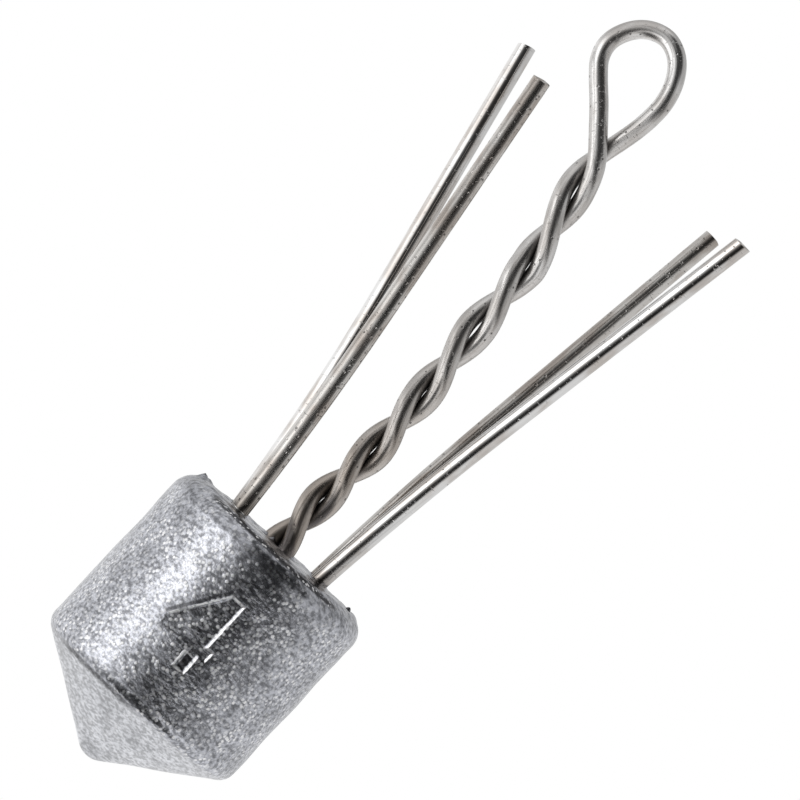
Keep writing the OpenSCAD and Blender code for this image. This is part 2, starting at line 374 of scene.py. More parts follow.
@dataclass(frozen=True)
class LeadFinish:
    """The look of the cast lead: a dark skin full of small raised drops, whose bright colour is a painted glint. Sizes
    are in millimetres.

    The crease's painted shade and the lip are bands of height, given by their middle and half their width.
    """

    name: str = "cast_lead"
    skin: Triple = (0.385, 0.393, 0.425)
    nose: Triple = (0.55, 0.558, 0.585)
    # The drops' colour is a painted glint; the figure's painted edge highlights and the lip's specks use it too.
    drop: Triple = (0.97, 0.97, 0.98)
    # The colour of the painted shade in the crease, under the lip and at the figure's edges; the nub gets it too.
    shade_colour: Triple = (0.06, 0.06, 0.065)
    roughness: float = 0.155
    drop_spacing: float = 0.47
    drop_size: float = 0.225
    drop_height: float = 0.022
    burr_height: float = 0.08
    nose_starts: tuple[float, float] = (-20.5, -21.0)
    crease_shade: tuple[float, float] = (-20.72, 0.32)
    lip: tuple[float, float] = (-0.3, 0.3)
    grain_turn: Triple = (0.0, -38.0, 0.0)
    drops_turn: Triple = (0.0, -42.0, 0.0)

    def material(self, drops: NodeTree) -> Material:
        """Build the material.

        Args:
            drops: the group of round drops.

        Returns:
            The finished material.
        """
        made, metal = new_metal(self.name)
        tree = made.node_tree
        found = put(tree, "ShaderNodeTexCoord")["Object"]
        centred = put(tree, "ShaderNodeMapping", {"Vector": found, "Location": tuple(-TOP_CENTRE * MM)})[0]
        place = scaled(centred, 1.0 / MM)
        along = put(tree, "ShaderNodeSeparateXYZ", {0: place})
        x, y, z = along["X"], along["Y"], along["Z"]
        # The figure's edges: painted highlights where this is positive, painted shade where it is negative.
        rim = put(tree, "ShaderNodeAttribute", attribute_name=EDGE_LIGHT_AND_SHADE)["Fac"]
        on_nose = between(z, *self.nose_starts)
        near_top = between(z, -3.2, -1.4)
        patch = cloud(place, 0.35, 3.0)
        fine = cloud(place, 2.3, 3.0, 0.65)
        worms = cloud(stretched(place, (1.3, 2.4, 2.8), self.grain_turn), 1.0)
        scribble = cloud(stretched(place, (2.0, 0.9, 4.4), self.grain_turn), 1.0, 3.0, 0.6)

        sockets = {"Place": place, "Spacing": self.drop_spacing, "Size": self.drop_size}
        large = put(tree, "ShaderNodeGroup", sockets, node_tree=drops)
        leaning = stretched(place, (0.62, 1.0, 1.0), self.drops_turn)
        sockets = {"Place": leaning, "Spacing": 0.8 * self.drop_spacing, "Size": 0.62 * self.drop_size}
        small = put(tree, "ShaderNodeGroup", sockets, node_tree=drops)["Height"]
        bare = calculate("MAXIMUM", near_top * 0.6, on_nose * 0.72)
        bare = calculate("MAXIMUM", bare, between(z, -0.35, -0.15))
        crowd = between(patch, 0.38, 0.6, 0.3, 1.0) * (1.0 - bare)
        kept = between(large["Chance"], 0.18, 0.4, 0.15, 1.0)
        raised = clamped(small * crowd * 0.4 + large["Height"] * kept * crowd)

        tone = between(fine * 0.7 + worms * 1.1, 0.66, 1.16, 0.55, 1.55)
        tone = lerp(on_nose, tone, between(scribble, 0.36, 0.64, 0.68, 1.28)) * between(patch, 0.3, 0.7, 0.9, 1.12)
        colour = scaled(blended(on_nose, self.skin, self.nose), tone)
        # The raised drops get a painted glint in their colour.
        colour = blended(raised, colour, self.drop)
        # The figure's edges get painted highlights in the drops' colour.
        colour = blended(between(rim, 0.05, 0.8), colour, self.drop)
        ragged = cloud(stretched(place, (1.1, 1.1, 5.0)), 1.0, 3.0, 0.7)
        # A painted shade line along the crease between barrel and nose, stronger towards the left.
        crease_shade = band(ragged * 0.3 + z, *self.crease_shade) * between(x, 2.0, -2.0, 0.1, 0.88)
        crease_shade = crease_shade * between(x, -9.5, -8.0, 0.35, 1.0) * between(fine, 0.4, 0.55, 0.6, 1.0)
        # A painted shadow along the ragged lip at the front of the top face.
        lip = band(ragged * 0.35 + z, *self.lip) * between(calculate("ABSOLUTE", x), 8.6, 7.4) * between(y, -3.0, -5.0)
        shadow_under_lip = lip * between(ragged, 0.38, 0.43) * between(small, 0.75, 0.35)
        # All the painted shade, with the figure's negative values, which also darken the nub.
        painted_shade = calculate("MAXIMUM", crease_shade, shadow_under_lip * 0.95)
        painted_shade = calculate("MAXIMUM", painted_shade, between(rim, -0.05, -0.9) * 0.8)
        colour = blended(painted_shade, colour, self.shade_colour)
        # Bright specks on the lip are painted glints.
        colour = blended(lip * between(small, 0.3, 0.8), colour, self.drop)

        # The left edges of the figure carry a fine burr, and its right walls are smoother.
        on_left = calculate("MAXIMUM", between(x, -0.25, -0.45), between(z, -12.9, -13.1) * between(x, 0.5, 0.4))
        scatter = between(rim, 0.05, 0.6) * between(x, 1.35, 1.1, 0.15, 1.0) * (on_left * -0.75 + 1.0)
        dull = fine * 0.16 + self.roughness + on_nose * 0.1 + raised * 0.3 + scatter * 0.45
        grain = lerp(on_nose, fine * 0.02 + worms * 0.035, scribble * 0.06) * (1.0 - near_top * 0.5)
        high = raised * self.drop_height + grain + between(rim, 0.0, 0.9) * on_left * self.burr_height
        bump = put(tree, "ShaderNodeBump", {"Height": high, "Distance": MM})
        feed(metal, {"Base Color": colour, "Roughness": dull, "Normal": bump[0]})
        return made


# ---- mesh helpers


def noise(places: Array, cell: float, seed: int) -> Array:
    """Make smooth noise from -1 to 1 on a lattice that repeats every 64 cells.

    Args:
        places: an array of points, one row each.
        cell: the lattice's spacing, in the points' unit.
        seed: the seed of the lattice's values.

    Returns:
        One value for each point.
    """
    values = np.random.default_rng(seed).uniform(-1.0, 1.0, (64, 64, 64))
    spots = places / cell + 1000.0
    low = np.floor(spots).astype(int)
    part = spots - low
    part = part * part * (3.0 - 2.0 * part)
    total = np.zeros(len(places))
    for corner in range(8):
        step = np.array([(corner >> axis) & 1 for axis in range(3)])
        weight = np.prod(np.where(step, part, 1.0 - part), axis=1)
        at = (low + step) % 64
        total += weight * values[at[:, 0], at[:, 1], at[:, 2]]
    return total


def rise(value: Array, low: float, high: float) -> Array:
    """Return 0 at low and beyond, 1 at high and beyond, and a smooth step between them."""
    share = np.clip((value - low) / (high - low), 0.0, 1.0)
    return share * share * (3.0 - 2.0 * share)


def run_along(line: Array) -> Array:
    """Return how far along a line of points each one is."""
    return np.concatenate(([0.0], np.cumsum(np.linalg.norm(np.diff(line, axis=0), axis=1))))


def mesh_object(name: str, points: Array, edges: list, faces: list) -> Object:
    """Make an object at the origin from points in millimetres from the casting's top centre.

    Args:
        name: the object's name.
        points: the points, one row each.
        edges: each loose edge's point numbers.
        faces: each face's point numbers.

    Returns:
        The new object, in the scene.
    """
    mesh = bpy.data.meshes.new(name)
    mesh.from_pydata(((points + TOP_CENTRE) * MM).tolist(), edges, faces)
    mesh.validate()
    made = bpy.data.objects.new(name, mesh)
    bpy.context.scene.collection.objects.link(made)
    return made


def outline_distance(places: Array, outline: Array) -> Array:
    """Measure how far inside a closed outline each point is. Outside it, the distance is negative.

    Args:
        places: the points, two columns.
        outline: the corners in order, two columns.

    Returns:
        One distance for each point.
    """
    nearest = np.full(len(places), 1e9)
    inside = np.zeros(len(places), bool)
    for start, end in zip(outline, np.roll(outline, -1, axis=0)):
        way = end - start
        share = np.clip(((places - start) @ way) / (way @ way), 0.0, 1.0)
        nearest = np.minimum(nearest, np.linalg.norm(places - start - share[:, None] * way, axis=1))
        crosses = (start[1] > places[:, 1]) != (end[1] > places[:, 1])
        with np.errstate(divide="ignore", invalid="ignore"):
            across = start[0] + (places[:, 1] - start[1]) * way[0] / way[1]
        inside ^= crosses & (places[:, 0] < across)
    return np.where(inside, nearest, -nearest)


# ---- the casting


@dataclass
class Casting:
    """The lead body: a barrel with a cone nose, a sunk figure 4 and a rough top face. Sizes are in millimetres."""

    radius: float = 11.9
    barrel: float = 20.4
    nose_half_angle: float = 56.0
    shoulder: float = 2.4
    belt: float = 1.8
    tip: float = 2.4
    coarse: float = 0.27
    fine: float = 0.07
    figure_floor: float = 11.3
    figure_share: float = 0.5
    island_height: float = 0.35
    figure_span: tuple[float, float] = (-4.0, 2.75)
    figure_rise: tuple[float, float] = (-15.4, -5.8)
    figure: tuple[tuple[float, float], ...] = (
        (-0.10, -6.19), (1.55, -6.19), (1.55, -11.55), (2.32, -11.55), (2.32, -12.86), (1.55, -12.86),
        (1.55, -15.04), (0.09, -15.04), (0.09, -12.86), (-3.58, -12.86), (-3.58, -11.56),
    )
    island: tuple[tuple[float, float], ...] = ((0.18, -8.22), (0.18, -11.55), (-1.98, -11.55))
    scars: tuple[tuple[float, float, float, float], ...] = ((-10.2, -0.6, 0.5, 0.5), (-9.6, 0.3, 0.45, 0.42))
    nub: tuple[float, float, float, float] = (9.15, 0.2, 0.12, 0.27)
    seed: int = 40

    def half_outline(self) -> Array:
        """Draw half of the casting's section.

        Returns:
            The points from the middle of the top face to the tip of the nose, as radius and height.
        """
        half = radians(self.nose_half_angle)
        reach = self.belt * tan(half / 2.0)
        tip_z = -self.barrel - self.radius / tan(half) + self.tip / sin(half)
        low, high = self.figure_rise
        points: list[tuple[float, float]] = [(0.0, 0.0)]

        def line_to(r: float, z: float, step: float) -> None:
            """Go straight on.

            Args:
                r: the radius to reach.
                z: the height to reach.
                step: about how far apart the points are.
            """
            from_r, from_z = points[-1]
            count = max(1, round(hypot(r - from_r, z - from_z) / step))
            for i in range(1, count + 1):
                points.append((from_r + (r - from_r) * i / count, from_z + (z - from_z) * i / count))

        def arc(r: float, z: float, size: float, start: float, end: float) -> None:
            """Go round a centre.

            Args:
                r: the centre's radius.
                z: the centre's height.
                size: the arc's own radius.
                start: the angle that it starts from, in radians above the level.
                end: the angle that it ends at.
            """
            count = max(3, round(size * abs(end - start) / self.coarse))
            for i in range(1, count + 1):
                angle = start + (end - start) * i / count
                points.append((r + size * cos(angle), z + size * sin(angle)))

        line_to(self.radius - self.shoulder, 0.0, self.coarse)
        arc(self.radius - self.shoulder, -self.shoulder, self.shoulder, pi / 2.0, 0.0)
        line_to(self.radius, high, self.coarse)
        line_to(self.radius, low, self.fine)
        line_to(self.radius, -self.barrel + reach, self.coarse)
        arc(self.radius - self.belt, -self.barrel + reach, self.belt, 0.0, -half)
        line_to(self.tip * cos(half), tip_z - self.tip * sin(half), self.coarse)
        arc(0.0, tip_z, self.tip, -half, -pi / 2.0)
        return np.array(points)

    def turns(self) -> Array:
        """Place the mesh's columns, close together where the figure is.

        Returns:
            Their angles.
        """
        left, right = (asin(x / self.radius) for x in self.figure_span)
        close = np.linspace(left, right, round((right - left) * self.radius / self.fine))
        rest = 2.0 * pi - (right - left)
        wide = np.linspace(right, right + rest, round(rest * self.radius / self.coarse) + 1)[1:-1]
        return np.concatenate((close, wide)) - pi / 2.0

    def figure_depth(self, places: Array) -> tuple[Array, Array]:
        """Sink the figure.

        Args:
            places: the smooth body's points, one row each.

        Returns:
            How far each point is pushed in, along +Y, and its painted edge highlight (positive) and shade (negative).
        """
        x, y, z = places.T
        flat = np.column_stack((x, z))
        wander = 0.04 * noise(places, 0.5, self.seed + 5)
        edge = outline_distance(flat, np.array(self.figure)) + wander
        full = self.figure_share * np.clip(-self.figure_floor - y, 0.0, None)
        share = np.clip((edge + 0.1) / (0.1 + 1.4 * full), 0.0, 1.0)
        low = self.island_height * rise(outline_distance(flat, np.array(self.island)) + wander, -0.35, 0.45)
        sunk = full * share ** 3 * (share * (share * 6.0 - 15.0) + 10.0) * (1.0 - low)
        return np.where(y < 0.0, sunk, 0.0), np.where(y < -8.0, self.figure_edge_light_and_shade(places, edge), 0.0)

    def figure_edge_light_and_shade(self, places: Array, edge: Array) -> Array:
        """Find where the figure's edges get a painted highlight and where they get painted shade.

        Args:
            places: the smooth body's points, one row each.
            edge: how far each one is inside the figure.

        Returns:
            One value for each point: 1 is a full painted highlight and -1 is full painted shade.
        """
        x, y, z = places.T
        flat, outer, reach = np.column_stack((x, z)), np.array(self.figure), 0.06
        # How much further inside the figure a place is for each step to the right, and for each step up.
        ahead, above = (
            (outline_distance(flat + way, outer) - outline_distance(flat - way, outer)) / (2.0 * reach)
            for way in ((reach, 0.0), (0.0, reach))
        )
        foot = rise(z, -12.95, -13.1)
        lit = np.maximum(rise(above, 0.5, 0.1) * rise(z, -13.1, -12.95), foot)
        lit = lit * (1.0 - 0.85 * rise(-np.abs(z + 12.98), -0.16, -0.04))
        lit = lit * (1.0 - 0.75 * rise(ahead, 0.9, 0.98) * (1.0 - foot))
        specks = rise(noise(places, 0.24, self.seed + 9), -0.55, 0.1)
        line = rise(np.abs(edge - 0.06), 0.2, 0.05)
        foot_top = foot * rise(np.abs(z + 13.2), 0.16, 0.06) * rise(edge, -0.1, 0.0)
        stem = rise(x, 1.2, 1.4) * (1.0 - 0.4 * foot)
        # The lines along the edges that face the light are painted highlights.
        edge_light_and_shade = np.maximum((0.1 + (0.7 + 0.1 * stem) * lit) * line * (0.45 + 0.55 * specks), 0.5 * foot_top)
        # A painted shade halo outside the figure's diagonal edge.
        halo_shade = rise(ahead, 0.3, 0.7) * rise(z, -12.0, -11.4)
        edge_light_and_shade = edge_light_and_shade - 0.7 * halo_shade * rise(np.abs(edge + 0.32), 0.26, 0.1)
        # Painted shade specks just inside the lit edges.
        inner_shade = rise(np.abs(edge - 0.36), 0.16, 0.05) * rise(z, -11.4, -11.0) * lit
        gaps = rise(noise(np.column_stack((z, y, x)), 0.4, self.seed + 10), -0.4, 0.1)
        edge_light_and_shade = edge_light_and_shade - 0.8 * inner_shade * gaps
        # The foot's sunk floor is given painted shade.
        return edge_light_and_shade - foot * rise(edge, 0.26, 0.4) * rise(z, -13.2, -13.35)

    def rim_scars(self, places: Array) -> Array:
        """Raise the small scars that the mould left round the top face.

        Args:
            places: the smooth body's points, one row each.

        Returns:
            One height for each point.
        """
        x, y, z = places.T
        height = np.zeros_like(x)
        for at_x, at_y, size, tall in self.scars:
            height += tall * np.exp(-((x - at_x) ** 2 + (y - at_y) ** 2) / size ** 2)
        ragged = 0.5 + 0.5 * noise(places, 0.45, self.seed + 8)
        return height * (0.4 + 0.9 * ragged) * rise(z, -1.2, -0.2)

    def top_relief(self, places: Array, wires: list) -> Array:
        """Raise the rough skin of the top face, with what the lead left against each wire.

        Args:
            places: the smooth body's points, one row each.
            wires: as in build.

        Returns:
            One height for each point.
        """
        x, y, z = places.T
        flat = np.column_stack((x, y, np.zeros_like(x)))
        height = 0.10 * noise(flat, 1.7, self.seed + 1) + 0.05 * noise(flat, 0.6, self.seed + 2)
        ragged = 0.65 + 0.5 * noise(flat, 0.5, self.seed + 3)
        for wire_x, wire_y, creep in wires:
            gap = np.hypot(x - wire_x, y - wire_y) - WIRE_RADIUS
            height += creep * ragged * np.exp(-np.clip(gap, 0.0, None) / 0.28)
        return rise(z, -0.5, -0.05) * height

    def nub_shape(self, first: int) -> tuple[Array, list]:
        """Make the small drop that stands on the rim, which the material colours dark.

        Args:
            first: the number that its first point gets.

        Returns:
            Its points, and its faces with the points' numbers.
        """
        shape = bmesh.new()
        bmesh.ops.create_icosphere(shape, subdivisions=3, radius=1.0)
        points = np.array([corner.co[:] for corner in shape.verts])
        faces = [tuple(corner.index + first for corner in face.verts) for face in shape.faces]
        shape.free()
        points *= (1.0 + 0.12 * noise(points, 0.8, self.seed + 7))[:, None]
        return points * self.nub[3] + self.nub[:3], faces

    def build(self, wires: list) -> Object:
        """Make the closed mesh.

        Args:
            wires: the middle of each wire where it leaves the lead, and how high the lead creeps up it.

        Returns:
            The casting's object.
        """
        outline, turns = self.half_outline(), self.turns()
        slope = np.gradient(outline, axis=0)[1:-1]
        slope /= np.linalg.norm(slope, axis=1)[:, None]
        count, rows = len(turns), len(slope)
        r, z, out_z, out_r = (np.repeat(column, count) for column in (*outline[1:-1].T, *slope.T))
        turn = np.tile(turns, rows)
        across, back = np.cos(turn), np.sin(turn)
        places = np.column_stack((r * across, r * back, z))
        outward = np.column_stack((-out_r * across, -out_r * back, out_z))

        uneven = 0.08 * noise(places, 3.6, self.seed) + 0.018 * noise(places, 1.1, self.seed + 4)
        rim = rise(z, -2.2, -0.3) * rise(r, 7.5, 9.6)
        uneven = uneven + 0.07 * rim * noise(places, 0.75, self.seed + 6)
        points = places + outward * uneven[:, None]
        points[:, 2] += self.top_relief(places, wires)
        points[:, 2] += self.rim_scars(places)
        depth, edge_light_and_shade = self.figure_depth(places)
        points[:, 1] += depth

        ends = np.array(((0.0, 0.0, outline[0, 1]), (0.0, 0.0, outline[-1, 1])))
        first, last = count * rows, count * rows + 1
        faces: list[tuple[int, ...]] = []
        for j in range(count):
            k = (j + 1) % count
            faces.append((first, j, k))
            faces.append((last, (rows - 1) * count + k, (rows - 1) * count + j))
            faces.extend(
                (i * count + j, (i + 1) * count + j, (i + 1) * count + k, i * count + k) for i in range(rows - 1)
            )
        nub_points, nub_faces = self.nub_shape(len(points) + 2)
        made = mesh_object("casting_body", np.vstack((points, ends, nub_points)), [], faces + nub_faces)
        # The nub gets -1, so the material gives it the dark painted-shade colour.
        edge_light_and_shade = np.concatenate((edge_light_and_shade, (0.0, 0.0), np.full(len(nub_points), -1.0)))
        made.data.attributes.new(EDGE_LIGHT_AND_SHADE, "FLOAT", "POINT").data.foreach_set("value", edge_light_and_shade)
        made.data.shade_smooth()
        return made


# ---- wires


def sweep_tree() -> NodeTree:
    """Make the Geometry Nodes tree that sweeps a round wire along a line of points.

    Returns:
        A tree with the inputs Line, Wire radius, Sides and Finish. It stores each point's place on the
        straightened wire, so that a finish follows the wire round every bend.
    """
    tree, given, result = new_tree(
        "Geometry", "wire_sweep", {"Line": "Geometry", "Wire radius": "Float", "Sides": "Int", "Finish": "Material"},
        {"Wire": "Geometry"},
    )

    def store(geometry: Value, name: str, kind: str, value: Value) -> Value:
        """Store a value on the points.

        Args:
            geometry: what has the points.
            name: the name to store it under.
            kind: its data type.
            value: the value.

        Returns:
            The geometry with the value stored.
        """
        sockets = {"Geometry": geometry, "Name": name}
        made = put(tree, "GeometryNodeStoreNamedAttribute", sockets, data_type=kind, domain="POINT")
        tree.links.new(value.socket, next(s for s in made.node.inputs if s.name == "Value" and s.enabled))
        return made[0]

    def read(name: str) -> Value:
        """Read a number that was stored under a name."""
        return put(tree, "GeometryNodeInputNamedAttribute", {"Name": name}, data_type="FLOAT")[0]

    line = put(tree, "GeometryNodeMeshToCurve", {0: given["Line"]})[0]
    line = store(line, "along", "FLOAT", put(tree, "GeometryNodeSplineParameter")["Length"])
    line = put(tree, "GeometryNodeSetCurveRadius", {"Curve": line, "Radius": read("swell")})[0]
    ring = put(
        tree, "GeometryNodeCurvePrimitiveCircle", {"Resolution": given["Sides"], "Radius": given["Wire radius"]}
    )["Curve"]
    ring = store(ring, "around", "FLOAT", put(tree, "GeometryNodeSplineParameter")["Factor"])
    tube = put(tree, "GeometryNodeCurveToMesh", {"Curve": line, "Profile Curve": ring, "Fill Caps": True})[0]
    turn, radius = read("around") * (2.0 * pi), given["Wire radius"] / MM
    place = put(tree, "ShaderNodeCombineXYZ", {
        "X": calculate("COSINE", turn) * radius, "Y": calculate("SINE", turn) * radius, "Z": read("along") / MM,
    })[0]
    tube = store(tube, STRAIGHTENED, "FLOAT_VECTOR", place)
    for name in ("along", "around", "swell"):
        tube = put(tree, "GeometryNodeRemoveAttribute", {"Geometry": tube, "Name": name})[0]
    whole = put(tree, "GeometryNodeRealizeInstances", {0: tube})[0]
    feed(result, {0: put(tree, "GeometryNodeSetMaterial", {"Geometry": whole, "Material": given["Finish"]})[0]})
    return tree


def swept(
    name: str, line: Array, swell: Array, tree: NodeTree, finish: Material, sides: int
) -> Object:
    """Sweep a wire along a line and return it as a plain mesh.

    Args:
        name: the piece's name.
        line: the wire's middle, in millimetres from the casting's top centre.
        swell: the wire's thickness at each point, as a share of the usual one.
        tree: the sweeping tree.
        finish: the wire's material.
        sides: how many faces go round the wire.

    Returns:
        The wire's object, with no modifier left on it.
    """
    made = mesh_object(name, line, [(i, i + 1) for i in range(len(line) - 1)], [])
    made.data.attributes.new("swell", "FLOAT", "POINT").data.foreach_set("value", swell)
    modifier = made.modifiers.new("sweep", "NODES")
    modifier.node_group = tree
    settings = {"Wire radius": WIRE_RADIUS * MM, "Sides": sides, "Finish": finish}
    for item in tree.interface.items_tree:
        if item.name in settings:
            modifier[item.identifier] = settings[item.name]
    graph = bpy.context.evaluated_depsgraph_get()
    plain = bpy.data.meshes.new_from_object(made.evaluated_get(graph))
    made.modifiers.clear()
    made.data = plain
    plain.name = name
    plain.materials.clear()
    plain.materials.append(finish)
    plain.shade_smooth()
    plain.set_sharp_from_angle(angle=radians(40.0))
    return made


def through(knots: Array, count: int) -> Array:
    """Run a smooth curve through knots, evenly spaced along its length.

    Args:
        knots: the points that the curve passes through, one row each.
        count: how many points to return.

    Returns:
        The curve's points.
    """
    padded = np.vstack((2 * knots[0] - knots[1], knots, 2 * knots[-1] - knots[-2]))
    parts = []
    for i in range(1, len(padded) - 2):
        a, b, c, d = padded[i - 1:i + 3]
        t = np.linspace(0.0, 1.0, 40, endpoint=False)[:, None]
        square, cube = (2 * a - 5 * b + 4 * c - d) * t ** 2, (3 * b - a - 3 * c + d) * t ** 3
        parts.append(0.5 * (2 * b + (c - a) * t + square + cube))
    dense = np.vstack((*parts, knots[-1:]))
    run = run_along(dense)
    even = np.linspace(0.0, run[-1], count)
    return np.column_stack([np.interp(even, run, dense[:, axis]) for axis in range(dense.shape[1])])


@dataclass
class EyeWire:
    """The one wire that comes up out of the lead, twists about itself, and opens into the eye.

    The crossings are the heights at which the strands cross in the photograph. The middle gives the
    twist's height and place across, and the eye is a row of knots. The span and top_step are in half
    turns from the first crossing.
    """

    crossings: tuple[float, ...] = (2.97, 9.67, 16.96, 24.65, 33.02, 41.19, 49.4)
    bulge_radii: tuple[float, ...] = (0.97, 0.98, 0.97, 1.05, 0.98, 1.02)
    middle: tuple[tuple[float, float], ...] = (
        (-9.0, -0.2), (0.0, -0.2), (5.9, -0.16), (12.8, 0.29), (20.2, 0.13), (28.6, -0.49),
        (36.9, -0.93), (45.8, -2.64), (49.4, -3.28),
    )
    eye: tuple[Triple, ...] = (
        (-1.50, 0.08, 45.05), (-1.72, -0.30, 46.03), (-2.32, -0.82, 47.75), (-3.22, -1.0, 49.3), (-5.04, -0.62, 51.45),
        (-6.8, -0.15, 53.45), (-8.68, 0.33, 55.4), (-9.75, 0.58, 56.75), (-10.2, 0.75, 58.2),
        (-10.0, 0.8, 59.65), (-9.15, 0.66, 61.2), (-7.85, 0.36, 62.27), (-6.2, -0.05, 62.68),
        (-4.7, -0.42, 62.2), (-3.55, -0.68, 61.2), (-2.65, -0.78, 59.7), (-2.15, -0.7, 57.95),
        (-2.06, -0.46, 56.3), (-2.25, 0.0, 54.3), (-2.66, 0.52, 52.3), (-3.1, 0.88, 50.5),
        (-3.40, 0.98, 48.95), (-3.62, 0.86, 47.9), (-3.72, 0.62, 46.9), (-3.70, 0.3, 46.03), (-3.53, -0.08, 45.05),
    )
    span: tuple[float, float] = (-0.62, 5.35)
    top_step: float = -0.443
    creep: float = 0.45
    swell: float = 1.03
    sides: int = 28
    points: int = 900

    def strand(self, start: float, steps: Array) -> Array:
        """Follow one strand of the twist.

        Args:
            start: where the strand is at the first crossing, in degrees round the middle.
            steps: the places along it, in half turns from the first crossing.

        Returns:
            The strand's points.
        """
        at = np.arange(len(self.crossings))
        z = np.interp(steps, at, self.crossings)
        first, last = self.crossings[1] - self.crossings[0], self.crossings[-1] - self.crossings[-2]
        z = np.where(steps < 0.0, self.crossings[0] + steps * first, z)
        z = np.where(steps > at[-1], self.crossings[-1] + (steps - at[-1]) * last, z)
        radius = np.interp(steps, at[:-1] + 0.5, self.bulge_radii)
        middle = np.array(self.middle)
        turn = np.radians(start - 180.0 * steps)
        x = np.interp(z, middle[:, 0], middle[:, 1]) + radius * np.cos(turn)
        return np.column_stack((x, radius * np.sin(turn), z))

    def line(self) -> Array:
        """Run the wire from one hidden end round the eye to the other.

        Returns:
            The points of its middle.
        """
        up = np.linspace(*self.span, 49)
        front, back = self.strand(-90.0, up), self.strand(90.0, up)
        return through(np.vstack((front, np.array(self.eye), back[::-1])), self.points)

    def build(self, tree: NodeTree, finish: Material) -> Object:
        """Sweep the wire.

        Args:
            tree: the sweeping tree.
            finish: the wire's material.

        Returns:
            The wire's object.
        """
        line = self.line()
        made = swept("twisted_eye_wire", line, np.full(len(line), self.swell), tree, finish, self.sides)
        self.mark_strand_shade(made.data, line)
        return made

    def mark_strand_shade(self, mesh: Mesh, line: Array) -> None:
        """Store how close each point of the surface is to the other strand, where the wire gets painted shade.

        Args:
            mesh: the wire's mesh.
            line: the wire's middle.
        """
        spots, along = np.empty(len(mesh.vertices) * 3), np.empty(len(mesh.vertices) * 3)
        mesh.vertices.foreach_get("co", spots)
        mesh.attributes[STRAIGHTENED].data.foreach_get("vector", along)
        spots = spots.reshape(-1, 3) / MM - TOP_CENTRE
        own = along.reshape(-1, 3)[:, 2]
        run = run_along(line)
        nearest = np.full(len(spots), 1e9)
        for point, at in zip(line[::2], run[::2]):
            gap = np.linalg.norm(spots - point, axis=1)
            nearest = np.where(np.abs(own - at) > 4.0, np.minimum(nearest, gap), nearest)
        share = rise(nearest - WIRE_RADIUS, 0.75, 0.12)
        mesh.attributes.new(STRAND_SHADE, "FLOAT", "POINT").data.foreach_set("value", share)


@dataclass
class Leg:
    """One leg: a straight wire that leaves the lead at a lean and curves a little further out.

    Its way round the casting, its lean and its curve are in degrees, and its lengths in millimetres.
    """

    name: str
    way: float
    length: float
    lean: float
    curve: float
    end: End
    slot: Slot
    swell: float
    feet_shift: float = -0.2
    slant: float = 0.0
    feet_radius: float = 6.95
    pivot_rise: float = 1.2
    curved_share: float = 0.45
    buried: float = 2.0
    creep: float = 0.3
    bend_half: float = 0.9
    sides: int = 32

    def pivot(self) -> Array:
        """Return the middle of the leg's hinge."""
        way = radians(self.way)
        return np.array((
            self.feet_shift + self.feet_radius * cos(way), self.feet_radius * sin(way), self.pivot_rise
        ))

    def place(self, run: Array) -> Array:
        """Follow the leg's middle.

        Args:
            run: distances along it from the pivot, negative inside the lead.

        Returns:
            The points there.
        """
        fine = np.linspace(0.0, self.length, 1200)
        lean = np.radians(self.lean + self.curve * np.clip(fine / (self.curved_share * self.length), 0.0, 1.0))
        middle, step = (lean[1:] + lean[:-1]) / 2.0, fine[1] - fine[0]
        out, up = (
            np.interp(run, fine, np.concatenate(([0.0], np.cumsum(part(middle)) * step)))
            + np.minimum(run, 0.0) * part(lean[0]) for part in (np.sin, np.cos)
        )
        way = radians(self.way)
        return np.column_stack((out * cos(way), out * sin(way), up)) + self.pivot()

    def exit(self) -> Array:
        """Return the middle of the wire at the height of the top face."""
        return self.place(np.array((-self.pivot_rise / cos(radians(self.lean)),)))[0]

    def build(self, tree: NodeTree, finish: Material) -> Object:
        """Sweep the leg and cut its end.

        Args:
            tree: the sweeping tree.
            finish: the wire's material.

        Returns:
            The leg's object.
        """
        near = np.arange(-self.buried, 4.0, 0.12)
        far = np.arange(4.0, self.length - 0.6, 0.8)
        bevel, share = self.end.value
        tip = self.length - np.array((0.6, 0.45, bevel + 0.02, 0.6 * bevel, 0.25 * bevel, 0.0))
        run = np.concatenate((near, far, np.sort(tip)))
        swell = np.full(len(run), self.swell)
        swell[-3:] *= np.interp((0.6, 0.25, 0.0), (0.0, 0.35, 1.0), (share, 0.4 * share + 0.6, 1.0))
        made = swept(self.name + "_wire", self.place(run), swell, tree, finish, self.sides)
        self.cut_end(made)
        return made

    def cut_end(self, made: Object) -> None:
        """Give the flat end the low middle and uneven face of a sheared wire.

        Args:
            made: the leg's object.
        """
        tip = Vector((self.place(np.array((self.length,)))[0] + TOP_CENTRE) * MM)
        shape = bmesh.new()
        shape.from_mesh(made.data)
        before, last = (Vector(point) for point in self.place(np.array((self.length - 0.5, self.length))))
        along = (last - before).normalized()
        level = Vector((1.0, 0.0, 0.0))
        level = (level - level.dot(along) * along).normalized()
        for corner in shape.verts:
            reach = (corner.co - tip).dot(along) / MM
            if reach > -0.9:
                corner.co += along * self.slant * (corner.co - tip).dot(level) * min(1.0, (reach + 0.9) / 0.5)
        cap = min((f for f in shape.faces if len(f.verts) > 4), key=lambda f: (f.calc_center_median() - tip).length)
        outward = cap.normal.copy()
        for step, drop in ((0.16, 0.02), (0.22, -0.03), (0.25, -0.05)):
            bmesh.ops.inset_region(shape, faces=[cap], thickness=step * MM, depth=0.0)
            centre = cap.calc_center_median()
            for corner in cap.verts:
                side = (corner.co - centre).dot(Vector((0.6, 0.3, 0.74))) / MM
                corner.co += outward * (drop + 0.05 * sin(3.0 * side + self.length)) * MM
        bmesh.ops.poke(shape, faces=[cap])
        shape.to_mesh(made.data)
        shape.free()


# ---- studio

